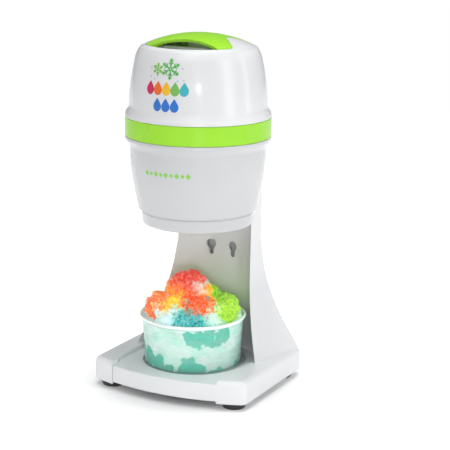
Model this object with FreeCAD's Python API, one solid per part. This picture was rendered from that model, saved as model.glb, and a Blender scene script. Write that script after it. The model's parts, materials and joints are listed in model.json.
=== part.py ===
import FreeCAD, Part
import math
import os

# Electric table-top shaved ice machine.
# Axes: +X to the machine's right, -Y to the front, +Z up.
# Plan positions are measured from the axis of the round head. Heights are measured from the underside
# of the base moulding, and save() lifts every piece by the height of the feet, so that the machine
# stands on z = 0.

V = FreeCAD.Vector
os.makedirs("parts", exist_ok=True)

# ---------------------------------------------------------------- driving dimensions, in mm
FOOT_H = 8.0
FOOT_R = 14.5
FOOT_X = 80.0
FOOT_Y_FRONT = -58.0
FOOT_Y_REAR = 64.0

BASE_HALF_W = 99.3
BASE_REAR = 83.5
BASE_FRONT = -90.0
BASE_BOW_R = 247.0
BASE_H = 26.5
BASE_WALL = 3.0

TRAY_TOP = 21.5
TRAY_SET_BACK = 2.0
TRAY_UNDERSIDE = 2.0
TRAY_HALF_W = 72.3
TRAY_MOUTH_HALF_W = 68.5
TRAY_GAP = 0.2
PLATE_CLEAR = 2.3
SEAT_R = 60.5
SEAT_Y = -5.5
SEAT_DEPTH = 4.0

COLUMN_FLARE_TOP = 165.0
COLUMN_SEAM = 192.0
COLUMN_NECK_HALF_W = 49.0
COLUMN_NECK_FRONT = 42.0
COLUMN_FACE_Y = 64.5
COLUMN_WALL = 3.0
NECK_TOP = 240.0

KEYHOLE_X = 14.5
KEYHOLE_Z = 144.5
KEYHOLE_R = 6.0
KEYHOLE_SLOT_W = 5.4
KEYHOLE_DROP = 10.5

BOWL_BOTTOM = 203.0
BOWL_R_LOW = 68.8
BOWL_R_HIGH = 78.7
BAND_R = 84.0
BAND_BOTTOM = 289.3
BAND_TOP = 311.4
CHUTE_R = 65.0
CHUTE_BOTTOM = 186.5

CHAMBER_R = 62.5
PLATE_Z = 205.6
PLATE_T = 1.5

HEAD_BOTTOM = 311.8
HEAD_PEAK = 405.7
CAP_SPHERE_R = 150.0
HEAD_WALL = 2.6
WELL_R = 60.4
WELL_FLOOR = 375.0

GEAR_MODULE = 1.0
GEAR_TEETH = 48
PINION_TEETH = 12
GEAR_Z = 318.0
GEAR_T = 8.0
SHAFT_R = 6.0
HEX_AF = 10.0
PRESSER_Z = 214.0
PRESSER_TRAVEL = 36.0
HUB_R = 10.0

HANDLE_TRAVEL = 4.0
GRIP_R = 60.0
GRIP_HALF = 35.5
GRIP_WAIST = 32.0
GRIP_NOTCH_ANGLE = 27.5
GRIP_WELL_ANGLE = 46.0
GRIP_TURN = 5.0
DOME_LEAN = 0.2325
GRIP_T = 2.8
GRIP_END_T = 8.0
GRIP_END_X = 36.0
NOTCH_CORNER_R = 8.0
STEM_X = (-20.0, 20.0)
CORE_TOP = 391.0
SPRING_TOP = 394.65
SPRING_SEAT_R = 8.0
GEAR_PLATE_Z = 329.0
MOTOR_X = GEAR_MODULE * (GEAR_TEETH + PINION_TEETH) / 2 + 0.1
GEAR_POSTS = [(-34.0, -24.0), (-34.0, 24.0), (50.0, -24.0), (50.0, 24.0)]
BLADE_SCREW_X = (20.0, 44.0)

GLAND_R = 7.0
GLAND_Z = 13.0
LEAD_Y = 70.2
LEAD_R = 2.2
COVER_SCREWS = [(-36.0, 150.0), (36.0, 150.0), (-50.0, 60.0), (50.0, 60.0)]

CUP_X = -2.2
CUP_R_LOW = 57.9
CUP_R_RIM = 62.8
CUP_H = 60.5
CUP_WALL = 1.6
ICE_PEAK = 56.0


# ---------------------------------------------------------------- helpers
def save(name, *solids):
    """Writes one node, standing on its feet. Several solids stay separate solids of that node."""
    shape = solids[0] if len(solids) == 1 else Part.makeCompound(list(solids))
    shape = shape.copy()
    shape.translate(V(0, 0, FOOT_H))
    shape.exportStep("parts/%s.step" % name)
    print("%-18s valid=%s solids=%d volume=%.0f" % (name, shape.isValid(), len(shape.Solids), shape.Volume))


def cyl(radius, low, high, x=0.0, y=0.0):
    return Part.makeCylinder(radius, high - low, V(x, y, low))


def tube(outer, inner, low, high, x=0.0, y=0.0):
    return cyl(outer, low, high, x, y).cut(cyl(inner, low - 1, high + 1, x, y))


def box(x0, x1, y0, y1, z0, z1):
    return Part.makeBox(x1 - x0, y1 - y0, z1 - z0, V(x0, y0, z0))


def line(a, b):
    return Part.LineSegment(V(*a), V(*b)).toShape()


def arc(a, b, c):
    return Part.Arc(V(*a), V(*b), V(*c)).toShape()


def face_of(edges):
    return Part.Face(Part.Wire(Part.__sortEdges__(edges)))


def polygon(points):
    return Part.Face(Part.makePolygon([V(*p) for p in points] + [V(*points[0])]))


def prism(face, height):
    return face.extrude(V(0, 0, height))


def turned(edges):
    """A solid of revolution about the head axis, from edges in the XZ plane."""
    return face_of(edges).revolve(V(0, 0, 0), V(0, 0, 1), 360)


def rz(r, z):
    """A point of a turned profile."""
    return (r, 0.0, z)


def around(shape, count, start=0.0):
    """Copies of shape spaced evenly about the head axis."""
    copies = []
    for k in range(count):
        c = shape.copy()
        c.rotate(V(0, 0, 0), V(0, 0, 1), start + 360.0 * k / count)
        copies.append(c)
    return copies


def screw(x, y, head_z, length, head_r=3.2, head_h=2.0, up=1):
    """A pan-head screw with a cross recess. up = 1 has its head on top, -1 below."""
    head = Part.makeCylinder(head_r, head_h, V(0, 0, 0))
    head = head.fuse(Part.makeCylinder(head_r * 0.5, length, V(0, 0, -length)))
    for turn in (0, 90):
        recess = box(-head_r * 0.6, head_r * 0.6, -0.45, 0.45, head_h - 1.0, head_h + 1)
        recess.rotate(V(0, 0, 0), V(0, 0, 1), turn)
        head = head.cut(recess)
    if up < 0:
        head.rotate(V(0, 0, 0), V(1, 0, 0), 180)
    head.translate(V(x, y, head_z))
    return head.removeSplitter()


def spring(radius, wire_r, low, high, turns, x=0.0, y=0.0):
    """A helical compression spring between two heights."""
    pitch = (high - low - 2 * wire_r) / turns
    helix = Part.makeHelix(pitch, pitch * turns, radius)
    ring = Part.Wire(Part.makeCircle(wire_r, V(radius, 0, 0), V(0, 1, 0)))
    coil = Part.Wire(helix.Edges).makePipeShell([ring], True, True)
    coil.translate(V(x, y, low + wire_r))
    return coil


# ---------------------------------------------------------------- base
def bow_disc(inset, low, high):
    """Everything behind the bowed front, moved back by inset."""
    return cyl(BASE_BOW_R - inset, low, high, 0, BASE_FRONT + BASE_BOW_R)


def base_block(inset, low, high):
    """The base's plan with rounded corners, drawn in by inset, between two heights."""
    w = BASE_HALF_W - inset
    slab = box(-w, w, -120, BASE_REAR - inset, low, high).common(bow_disc(inset, low, high))
    upright = [e for e in slab.Edges if abs(e.BoundBox.ZLength - (high - low)) < 0.01]
    return slab.makeFillet(max(9.0 - inset, 3.0), upright)


def tray_plan(gap, z):
    """The platform's outline: a mouth between the corner blocks, straight sides, and a round back."""
    w = TRAY_HALF_W - gap
    m = TRAY_MOUTH_HALF_W - gap
    side_end = 20.0
    back = COLUMN_FACE_Y - 0.5 - gap
    right = [(m, -100, z), (m, -67, z), (w, -57, z), (w, side_end, z)]
    left = [(-p[0], p[1], z) for p in reversed(right)]
    edges = [line(left[-1], right[0])]
    for run in (right, left):
        edges += [line(a, b) for a, b in zip(run, run[1:])]
    edges.append(arc(right[-1], (0, back, z), left[0]))
    return face_of(edges)


def column_dims(z):
    """Front edge, rear corner and rear face of the column at height z: it flares towards the base."""
    t = min(1.0, max(0.0, (COLUMN_FLARE_TOP - z) / (COLUMN_FLARE_TOP - BASE_H)))
    front_x = COLUMN_NECK_HALF_W + 31.0 * t ** 2.1
    front_y = COLUMN_NECK_FRONT - 47.0 * t ** 1.6
    rear_x = COLUMN_NECK_HALF_W + 48.5 * t ** 2.1
    rear_y = 75.5 + 7.5 * t ** 1.5
    return front_x, front_y, rear_x, rear_y


def column_section(z):
    fx, fy, rx, ry = column_dims(z)
    c = 8.0
    k = c * (1 - math.sqrt(0.5))
    edges = [arc((-fx, fy, z), (0, COLUMN_FACE_Y, z), (fx, fy, z))]
    edges.append(line((fx, fy, z), (rx, ry - c, z)))
    edges.append(arc((rx, ry - c, z), (rx - k, ry - k, z), (rx - c, ry, z)))
    edges.append(line((rx - c, ry, z), (-rx + c, ry, z)))
    edges.append(arc((-rx + c, ry, z), (-rx + k, ry - k, z), (-rx, ry - c, z)))
    edges.append(line((-rx, ry - c, z), (-fx, fy, z)))
    return Part.Wire(edges)


def cavity_section(z, rear_past, side_gap=0.0):
    """The hollow inside the column: one wall thickness in, and open through the rear."""
    fx, fy, rx, ry = column_dims(z)
    sag = COLUMN_FACE_Y - fy
    face_r = (fx * fx + sag * sag) / (2 * sag)
    centre_y = COLUMN_FACE_Y - face_r
    inner_r = face_r + COLUMN_WALL
    ix = fx - COLUMN_WALL - 1.0 - side_gap
    iy = centre_y + math.sqrt(inner_r * inner_r - ix * ix)
    wx = rx - COLUMN_WALL - side_gap
    back = ry + rear_past
    edges = [arc((-ix, iy, z), (0, centre_y + inner_r, z), (ix, iy, z))]
    seat = min(ry - 4.0, back - 1.0)
    edges.append(line((ix, iy, z), (wx, seat, z)))
    edges.append(line((wx, seat, z), (wx, back, z)))
    edges.append(line((wx, back, z), (-wx, back, z)))
    edges.append(line((-wx, back, z), (-wx, seat, z)))
    edges.append(line((-wx, seat, z), (-ix, iy, z)))
    return Part.Wire(edges)


def cover_section(z):
    """The rear cover: a plate let into the open back of the column."""
    rx, ry = column_dims(z)[2:]
    wx = rx - COLUMN_WALL - 0.8
    corners = [V(-wx, ry - 2.5, z), V(wx, ry - 2.5, z), V(wx, ry, z), V(-wx, ry, z)]
    return Part.makePolygon(corners + corners[:1])


FLARE_LEVELS = (17.0, 32.0, 48.0, 68.0, 92.0, 118.0, 144.0, COLUMN_FLARE_TOP)


def lofted(section, top):
    """A solid through one section per flare level, carried straight on up to top."""
    flare = Part.makeLoft([section(z) for z in FLARE_LEVELS], True, False)
    neck = Part.Face(section(COLUMN_FLARE_TOP)).extrude(V(0, 0, top - COLUMN_FLARE_TOP))
    return flare.fuse(neck).removeSplitter()


def keyhole(x):
    """A keyhole slot through the column's face: a round entry with a slot hanging from it."""
    y = COLUMN_FACE_Y
    entry = Part.makeCylinder(KEYHOLE_R, 30, V(x, y - 15, KEYHOLE_Z), V(0, 1, 0))
    w = KEYHOLE_SLOT_W / 2
    slot = box(x - w, x + w, y - 15, y + 15, KEYHOLE_Z - KEYHOLE_DROP, KEYHOLE_Z)
    tip = Part.makeCylinder(w, 30, V(x, y - 15, KEYHOLE_Z - KEYHOLE_DROP), V(0, 1, 0))
    return entry.fuse([slot, tip])


def rail_rounding(solid):
    """Rounds the outer top edge of the base all the way round."""
    boxes = [(e, e.BoundBox) for e in solid.Edges]
    top = [e for e, b in boxes if abs(b.ZMin - BASE_H) < 0.01 and abs(b.ZMax - BASE_H) < 0.01]
    return solid.makeFillet(6.0, top)


def base_shell():
    """Base and column in one moulding, open underneath, at the column's rear and where the tray sits."""
    ledge = TRAY_TOP - 3.0
    block = rail_rounding(base_block(0, 0, BASE_H))
    hollow = base_block(BASE_WALL, -1, BASE_H - BASE_WALL)
    kept_walls = prism(tray_plan(-BASE_WALL, PLATE_CLEAR), 60)
    block = block.cut(hollow.cut(kept_walls))
    tray_space = prism(tray_plan(0, ledge), 40)
    under_tray = prism(tray_plan(4.0, -1), 40)
    mouth = prism(tray_plan(0, -1), 40).cut(box(-200, 200, -72, 200, -2, 60))
    block = block.cut(tray_space.fuse([under_tray, mouth]))
    column = lofted(column_section, COLUMN_SEAM)
    column = column.common(box(-200, 200, -200, 200, ledge, 400))
    body = block.fuse(column)
    inside = lofted(lambda z: cavity_section(z, 12.0), COLUMN_SEAM - 2.5)
    body = body.cut(inside.common(box(-200, 200, -200, BASE_REAR - BASE_WALL, 0, 400)))
    body = body.cut(inside.common(box(-200, 200, -200, 200, FLARE_LEVELS[1] - 0.3, 400)))
    for x in (-KEYHOLE_X, KEYHOLE_X):
        body = body.cut(keyhole(x))
    lead_way = cyl(5.0, COLUMN_SEAM - 10, COLUMN_SEAM + 5, 0, LEAD_Y)
    gland_hole = Part.makeCylinder(GLAND_R + 0.2, 30, V(0, BASE_REAR - 15, GLAND_Z), V(0, 1, 0))
    return body.cut([lead_way, gland_hole])


def tray_plate():
    """The platform: bowed front lip, and a round seat for the cup."""
    top = prism(tray_plan(TRAY_GAP, TRAY_TOP - 2.8), 2.8)
    pan = cyl(SEAT_R + 2.6, TRAY_TOP - SEAT_DEPTH - 2.6, TRAY_TOP, 0, SEAT_Y)
    lip_plan = prism(tray_plan(TRAY_GAP, TRAY_UNDERSIDE), TRAY_TOP - TRAY_UNDERSIDE)
    lip = lip_plan.cut(bow_disc(TRAY_SET_BACK + 3.0, -1, 60)).cut(box(-200, 200, -60, 200, -1, 60))
    body = top.fuse([pan, lip]).common(bow_disc(TRAY_SET_BACK, 0, 60)).removeSplitter()
    front = [e for e in body.Edges if e.BoundBox.ZMin > TRAY_TOP - 0.01 and e.BoundBox.YMax < -60]
    body = body.makeFillet(2.2, front)
    body = body.cut(cyl(SEAT_R, TRAY_TOP - SEAT_DEPTH, 60, 0, SEAT_Y))
    around = 2 * math.pi * SEAT_R
    upper = [e for e in body.Edges if e.BoundBox.ZMin > TRAY_TOP - 0.01]
    seat_edge = [e for e in upper if abs(e.Length - around) < 0.5]
    return body.makeFillet(1.2, seat_edge)


def bottom_plate():
    plate = base_block(BASE_WALL + 0.3, 0, 2.0).cut(box(-200, 200, -200, -58, -1, 5))
    for x, y in foot_places():
        plate = plate.cut(cyl(2.2, -1, 5, x, y))
    slots = [box(x - 2, x + 2, -20, 20, -1, 5) for x in range(-30, 31, 12)]
    return plate.cut(slots)


def foot_places():
    return [(sx * FOOT_X, y) for y in (FOOT_Y_FRONT, FOOT_Y_REAR) for sx in (-1, 1)]


def foot(x, y):
    """A turned rubber foot with a rounded rim and a sunk screw seat."""
    body = Part.makeCone(FOOT_R - 1.5, FOOT_R, FOOT_H, V(x, y, -FOOT_H))
    rim = [e for e in body.Edges if len(e.Vertexes) == 1]
    body = body.makeFillet(1.4, rim)
    body = body.cut(cyl(6.0, -FOOT_H - 1, -FOOT_H + 3.5, x, y))
    return body.cut(cyl(2.2, -FOOT_H, 1, x, y))


def rear_cover():
    """Plate that closes the back of the column, with vents and screw holes."""
    flat = Part.makeLoft([cover_section(z) for z in FLARE_LEVELS[1:]], True, False)
    neck = Part.Face(cover_section(COLUMN_FLARE_TOP)).extrude(V(0, 0, COLUMN_SEAM - 3.5 - COLUMN_FLARE_TOP))
    plate = flat.fuse(neck).removeSplitter()
    vents = [box(-22, 22, 60, 100, z, z + 3) for z in range(60, 96, 7)]
    holes = [Part.makeCylinder(2.0, 60, V(x, 50, z), V(0, 1, 0)) for x, z in COVER_SCREWS]
    return plate.cut(vents + holes)


def cover_screw(x, z):
    """Screw of the rear cover, its head against the cover's outer face."""
    body = screw(0, 0, 0, 9.0, 3.4, 1.8)
    body.rotate(V(0, 0, 0), V(1, 0, 0), -90)
    body.translate(V(x, column_dims(z)[3] + 0.35, z))
    return body


def neck_bracket():
    """Housing that joins the top of the column to the back of the bowl."""
    outer = Part.Face(column_section(COLUMN_SEAM)).extrude(V(0, 0, NECK_TOP - COLUMN_SEAM))
    rear_top = [e for e in outer.Edges if e.BoundBox.ZMin > NECK_TOP - 0.01 and e.BoundBox.YMin > 60]
    outer = outer.makeFillet(7.0, rear_top)
    section = Part.Face(cavity_section(COLUMN_SEAM, -COLUMN_WALL))
    inner = section.extrude(V(0, 0, NECK_TOP - 3.0 - COLUMN_SEAM))
    inner.translate(V(0, 0, 2.0))
    body = outer.cut(bowl_form(-0.1)).cut(cyl(CHUTE_R + 0.2, CHUTE_BOTTOM, BOWL_BOTTOM + 1))
    body = body.cut(inner.cut(bowl_form(-2.6)))
    return body.cut(cyl(4.0, COLUMN_SEAM - 5, COLUMN_SEAM + 5, 0, LEAD_Y))


# ---------------------------------------------------------------- ice bowl
def bowl_form(inset):
    """The bowl's outer form as a filled solid, drawn in by inset all round."""
    i = inset
    low = BOWL_BOTTOM + max(i, 0.0)
    edges = [line(rz(0, low), rz(66.0 - i, low))]
    turn = rz(BOWL_R_LOW - i, BOWL_BOTTOM + 3.0 + i * 0.3)
    edges.append(arc(rz(66.0 - i, low), rz(68.0 - i, BOWL_BOTTOM + 0.9 + i * 0.4), turn))
    edges.append(arc(turn, rz(75.5 - i, 239.0), rz(BOWL_R_HIGH - i, 276.5)))
    edges.append(arc(rz(BOWL_R_HIGH - i, 276.5), rz(80.9 - i, 281.6), rz(BAND_R - i, 285.6)))
    edges.append(line(rz(BAND_R - i, 285.6), rz(BAND_R - i, BAND_BOTTOM - 0.3)))
    edges.append(line(rz(BAND_R - i, BAND_BOTTOM - 0.3), rz(0, BAND_BOTTOM - 0.3)))
    edges.append(line(rz(0, BAND_BOTTOM - 0.3), rz(0, low)))
    return turned(edges)


def bowl_shell():
    """Outer bowl with its floor ledge, and the spigot that centres the motor head."""
    top = BAND_BOTTOM - 0.3
    shell = bowl_form(0).cut(bowl_form(2.5).common(cyl(76.2, 0, 286.2)))
    shell = shell.cut(cyl(60.0, BOWL_BOTTOM - 1, 300))
    spigot = tube(80.2, 78.2, top - 0.5, top + 7.0)
    shell = shell.fuse(spigot).cut(tube(78.2, 50, 286.2, 300)).removeSplitter()
    return shell.cut(box(-9.2, 9.2, 60, 73.0, 262, 300).common(cyl(78.0, 200, 300)))


def chute_ring():
    """Plain ring below the bowl that the shaved ice falls through."""
    o = CHUTE_R
    top = BOWL_BOTTOM - 0.2
    edges = [line(rz(59.0, top), rz(o - 0.8, top)), line(rz(o - 0.8, top), rz(o - 0.8, top - 1.4))]
    edges.append(line(rz(o - 0.8, top - 1.4), rz(o, top - 2.0)))
    edges.append(line(rz(o, top - 2.0), rz(o - 0.6, CHUTE_BOTTOM + 4.0)))
    round_middle = rz(o - 1.7, CHUTE_BOTTOM + 1.2)
    edges.append(arc(rz(o - 0.6, CHUTE_BOTTOM + 4.0), round_middle, rz(o - 4.5, CHUTE_BOTTOM)))
    edges.append(line(rz(o - 4.5, CHUTE_BOTTOM), rz(59.0, CHUTE_BOTTOM)))
    edges.append(line(rz(59.0, CHUTE_BOTTOM), rz(59.0, top)))
    return turned(edges)


def ice_chamber():
    """Liner that holds the block of ice, with a flange that hides the gap to the bowl."""
    wall = tube(CHAMBER_R + 2, CHAMBER_R, PLATE_Z + PLATE_T + 0.1, 286.4)
    flange = tube(77.8, CHAMBER_R, 286.4, 288.6)
    body = wall.fuse(flange).removeSplitter()
    ribs = [box(CHAMBER_R - 1.5, CHAMBER_R + 0.5, -1, 1, 212, 280)]
    return body.fuse(around(ribs[0], 6, 30.0)).cut(box(-9.2, 9.2, 65.5, 73.0, 262, 300)).removeSplitter()


def blade_plate():
    """Stainless disc with the radial slot that the blade stands in."""
    plate = cyl(CHAMBER_R + 1.5, PLATE_Z, PLATE_Z + PLATE_T)
    slot = box(8, 56, -4, 4, 200, 212)
    holes = [cyl(1.7, 200, 212, x, -9.5) for x in BLADE_SCREW_X]
    return plate.cut([slot] + holes)


def blade():
    """Ground steel blade under the plate, its edge just proud of the top through the slot."""
    strip = box(9, 55, -14, 0.0, -1.0, 0.0)
    edge = polygon([(9, 0, -1.0), (9, 0, 0), (9, 3.6, 2.2)]).extrude(V(46, 0, 0))
    body = strip.fuse(edge).removeSplitter()
    for x in BLADE_SCREW_X:
        body = body.cut(cyl(1.7, -3, 3, x, -9.5))
    body.translate(V(0, 0, PLATE_Z - 0.1))
    return body


# ---------------------------------------------------------------- lock ring and motor head
def lock_ring():
    """Green bayonet ring, with three lugs that turn over the head's own lugs."""
    ring = tube(BAND_R, 80.6, BAND_BOTTOM, BAND_TOP)
    rims = [e for e in ring.Edges if len(e.Vertexes) == 1 and e.Curve.Radius > 82]
    ring = ring.makeFillet(0.8, rims)
    return ring.fuse(around(lug(80.8, 78.3, 301.0, 304.5), 3, 90.0)).removeSplitter()


def lug(outer, inner, low, high):
    """A short piece of a ring, centred on +X."""
    half = math.radians(8.0)
    reach = 100.0
    side = reach * math.tan(half)
    wedge = polygon([(0, 0, low), (reach, -side, low), (reach, side, low)])
    return tube(outer, inner, low, high).common(prism(wedge, high - low))


def tangent_arc_middle(start, heading, end):
    """Middle point of the arc that leaves start along heading and passes through end."""
    size = math.hypot(*heading)
    along = (heading[0] / size, heading[1] / size)
    inward = (-along[1], along[0])
    chord = (end[0] - start[0], end[1] - start[1])
    radius = (chord[0] ** 2 + chord[1] ** 2) / (2 * (chord[0] * inward[0] + chord[1] * inward[1]))
    centre = (start[0] + inward[0] * radius, start[1] + inward[1] * radius)
    half = ((start[0] + end[0]) / 2 - centre[0], (start[1] + end[1]) / 2 - centre[1])
    reach = radius / math.hypot(*half)
    return (centre[0] + half[0] * reach, centre[1] + half[1] * reach)


def dome_form(inset):
    """The motor head's outer form as a filled solid, drawn in by inset."""
    i = inset
    sphere_z = HEAD_PEAK - CAP_SPHERE_R
    cap_r = CAP_SPHERE_R - i
    edge_r = 66.5 - i
    edge_z = sphere_z + math.sqrt(cap_r * cap_r - edge_r * edge_r)
    edges = [line(rz(0, HEAD_BOTTOM), rz(BAND_R - i, HEAD_BOTTOM))]
    edges.append(line(rz(BAND_R - i, HEAD_BOTTOM), rz(BAND_R - i, 312.8)))
    edges.append(arc(rz(BAND_R - i, 312.8), rz(83.3 - i, 316.0 - i * 0.3), rz(81.6 - i, 318.6 - i * 0.3)))
    edges.append(arc(rz(81.6 - i, 318.6 - i * 0.3), rz(79.9 - i, 321.2), rz(79.3 - i, 324.6)))
    edges.append(arc(rz(79.3 - i, 324.6), rz(77.8 - i, 346.0), rz(72.5 - i, 377.0)))
    shoulder = tangent_arc_middle((72.5 - i, 377.0), (-DOME_LEAN, 1.0), (edge_r, edge_z))
    edges.append(arc(rz(72.5 - i, 377.0), rz(*shoulder), rz(edge_r, edge_z)))
    top = HEAD_PEAK - i
    mid_r = edge_r * 0.5
    mid_z = sphere_z + math.sqrt(cap_r * cap_r - mid_r * mid_r)
    edges.append(arc(rz(edge_r, edge_z), rz(mid_r, mid_z), rz(0, top)))
    edges.append(line(rz(0, top), rz(0, HEAD_BOTTOM)))
    return turned(edges)


def on_rim(radius, angle, z):
    """Point on the grip's round outline, angle in degrees from +X."""
    a = math.radians(angle)
    return (radius * math.cos(a), radius * math.sin(a), z)


def rounded_uprights(solid, low, high, radius):
    """Rounds a plan's upright edges: the notches' outer corners by NOTCH_CORNER_R, all others by radius."""
    notch_slope = math.tan(math.radians(GRIP_NOTCH_ANGLE + 5.0))
    for at_notch, size in ((False, radius), (True, NOTCH_CORNER_R)):
        chosen = []
        for e in solid.Edges:
            middle = e.BoundBox.Center
            on_round = math.hypot(middle.x, middle.y) > GRIP_R * 0.9
            near_notch = on_round and abs(middle.y) < abs(middle.x) * notch_slope
            if abs(e.BoundBox.ZLength - (high - low)) < 0.01 and near_notch == at_notch:
                chosen.append(e)
        solid = solid.makeFillet(size, chosen)
    return solid


def turned_to_head(shape):
    """The grip and its openings stand a few degrees round from the base's square."""
    shape.rotate(V(0, 0, 0), V(0, 0, 1), GRIP_TURN)
    return shape


def grip_plan(low, high):
    """The grip's plan: a round cut by a finger well at front and rear, and by a notch at each end."""
    a, b = GRIP_NOTCH_ANGLE, GRIP_WELL_ANGLE
    r = GRIP_R
    edges = []
    for side in (-1, 1):
        ends = [on_rim(r, side * b, low), on_rim(r, 180 - side * b, low)]
        edges.append(arc(ends[0], (0, side * GRIP_HALF, low), ends[1]))
    for turn in (0, 180):
        apex = on_rim(GRIP_WAIST, turn, low)
        for side in (-1, 1):
            edges.append(line(apex, on_rim(r, turn + side * a, low)))
            rim = [on_rim(r, turn + side * k, low) for k in (a, (a + b) / 2, b)]
            edges.append(arc(*rim))
    return rounded_uprights(prism(face_of(edges), high - low), low, high, 3.0)


def cap_opening(gap, low, high):
    """The hole in the cap: the grip's round, less the two white end wedges."""
    disc = cyl(GRIP_R + gap, low, high)
    apex = GRIP_WAIST + gap
    tip = on_rim(GRIP_R, GRIP_NOTCH_ANGLE, low)
    reach = 90.0
    spread = (reach - GRIP_WAIST) * tip[1] / (tip[0] - GRIP_WAIST)
    for side in (-1, 1):
        wedge = polygon([(side * apex, 0, low), (side * reach, -spread, low), (side * reach, spread, low)])
        disc = disc.cut(prism(wedge, high - low))
    return rounded_uprights(disc, low, high, 2.6)


def handle():
    """Green grip flush with the cap: a thin shell with deeper ends on two stems; the left works the switch."""
    top = grip_plan(WELL_FLOOR, 420).common(dome_form(0))
    shell = top.cut(dome_form(GRIP_T))
    middle = box(-GRIP_END_X, GRIP_END_X, -80, 80, WELL_FLOOR - 1, 421)
    ends = top.cut(dome_form(GRIP_END_T)).cut(middle)
    grip = turned_to_head(shell.fuse(ends))
    stems = [cyl(5.0, WELL_FLOOR - 6.0, 410, x, 0) for x in STEM_X]
    seats = [cyl(SPRING_SEAT_R, SPRING_TOP, 410, x, 0) for x in STEM_X]
    below = [post.common(dome_form(GRIP_T / 2)) for post in stems + seats]
    return grip.fuse(below).removeSplitter()


def head_cover():
    """White dome with its collar, open at the cap round the grip and over the finger wells."""
    shell = dome_form(0).cut(dome_form(HEAD_WALL)).cut(cyl(81.4, HEAD_BOTTOM - 1, 312.6))
    return shell.cut(turned_to_head(cap_opening(0.5, 370, 420))).removeSplitter()


def handle_well():
    """White cup set under the cap: the floor and wall that the fingers meet, and the grip's guides."""
    wall = tube(WELL_R + 3.0, WELL_R + 0.8, WELL_FLOOR - 2.4, 388.0)
    floor = cyl(WELL_R + 3.0, WELL_FLOOR - 2.4, WELL_FLOOR)
    core = box(-33, 33, -22, 22, WELL_FLOOR - 1, CORE_TOP)
    core = core.cut(box(-31, 31, -20, 20, WELL_FLOOR - 2, CORE_TOP - 2))
    core = core.cut([cyl(SPRING_SEAT_R + 0.6, CORE_TOP - 3, CORE_TOP + 1, x, 0) for x in STEM_X])
    body = wall.fuse([floor, core]).common(dome_form(HEAD_WALL + 0.05))
    for x in STEM_X:
        body = body.fuse(cyl(8.5, WELL_FLOOR - 6, WELL_FLOOR, x, 0)).cut(cyl(5.35, 350, 400, x, 0))
    return body.removeSplitter()


def head_floor():
    """Floor of the motor head, with the skirt and lugs that enter the lock ring."""
    floor = cyl(80.4, HEAD_BOTTOM, HEAD_BOTTOM + 2.6)
    skirt = tube(77.7, 75.0, 291.0, HEAD_BOTTOM + 1)
    lugs = around(lug(80.1, 77.0, 297.2, 300.0), 3, 90.0 + 30.0)
    boss = cyl(13.0, 306.0, HEAD_BOTTOM + 4.0)
    posts = [cyl(4.5, HEAD_BOTTOM + 1, GEAR_PLATE_Z, x, y) for x, y in GEAR_POSTS]
    body = floor.fuse([skirt, boss] + lugs + posts)
    body = body.cut(cyl(SHAFT_R + 3.05, 290, 328))
    body = body.cut([cyl(1.7, GEAR_PLATE_Z - 7, GEAR_PLATE_Z + 1, x, y) for x, y in GEAR_POSTS])
    slot = box(-7.0, 7.0, 68.0, 74.5, 300, 320)
    return body.cut(slot).removeSplitter()


def gear(teeth, low, high, phase=0.0, back=0.16):
    """Spur gear with straight-flanked teeth; back is the clearance taken off each flank."""
    pitch_r = GEAR_MODULE * teeth / 2
    tip, root = pitch_r + GEAR_MODULE * 0.9, pitch_r - GEAR_MODULE * 1.2
    quarter = math.pi * GEAR_MODULE / 4 - back
    lean = math.tan(math.radians(20.0))
    body = cyl(root + 0.01, low, high)
    pts = []
    for r, rise in ((root - 0.3, -1.5), (tip, 0.9)):
        pts.append((r, (quarter - rise * GEAR_MODULE * lean) * 1.0))
    (r0, h0), (r1, h1) = pts
    tooth = prism(polygon([(r0, -h0, low), (r1, -h1, low), (r1, h1, low), (r0, h0, low)]), high - low)
    return body.fuse(around(tooth, teeth, phase)).removeSplitter()


def hexagon(across, low, high):
    r = across / math.sqrt(3)
    pts = [(r * math.cos(math.radians(60 * k)), r * math.sin(math.radians(60 * k)), low) for k in range(6)]
    return prism(polygon(pts), high - low)


def drive_gear():
    """Large gear, dished for lightness, with a hexagonal bore keyed on the spindle."""
    body = gear(GEAR_TEETH, GEAR_Z, GEAR_Z + GEAR_T)
    body = body.cut(tube(19.0, 10.0, GEAR_Z + 5.5, GEAR_Z + GEAR_T + 1))
    return body.cut(hexagon(HEX_AF, GEAR_Z - 1, GEAR_Z + GEAR_T + 1))


def spindle():
    """Shaft from the gear down to the presser: round in its bearing, hexagonal at both ends."""
    low = PRESSER_Z + 3.0 + PRESSER_TRAVEL + 1.0
    shaft = hexagon(HEX_AF, low, GEAR_Z + GEAR_T + 4)
    journal = cyl(SHAFT_R, HEAD_BOTTOM - 5.4, GEAR_Z - 0.2)
    collar = cyl(8.6, GEAR_Z - 2.0, GEAR_Z - 0.2)
    return shaft.fuse([journal, collar]).removeSplitter()


def bearing():
    """Plain bush in the head floor that the spindle turns in."""
    return tube(SHAFT_R + 3.0, SHAFT_R + 0.05, 306.2, HEAD_BOTTOM + 4.0)


def presser_disc():
    """Spiked disc that pushes and turns the ice, ribbed on top, pressed on to its hub."""
    z = PRESSER_Z
    disc = cyl(46.0, z, z + 3.0)
    rib = box(8, 43, -1.2, 1.2, z + 2.5, z + 6.0)
    body = disc.fuse(around(rib, 6))
    for ring_r, count in ((20.0, 6), (36.0, 10)):
        body = body.fuse(around(Part.makeCone(0.4, 2.0, 5.0, V(ring_r, 0, z - 4.9)), count, 15.0))
    return body.cut(cyl(HUB_R + 0.02, z - 1, z + 10)).removeSplitter()


def presser_hub():
    """Sleeve that slides on the spindle's hexagon, closed at the foot."""
    socket = hexagon(HEX_AF + 0.14, PRESSER_Z + 2.5, PRESSER_Z + 60)
    return cyl(HUB_R, PRESSER_Z, PRESSER_Z + 54.0).cut(socket)


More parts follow.
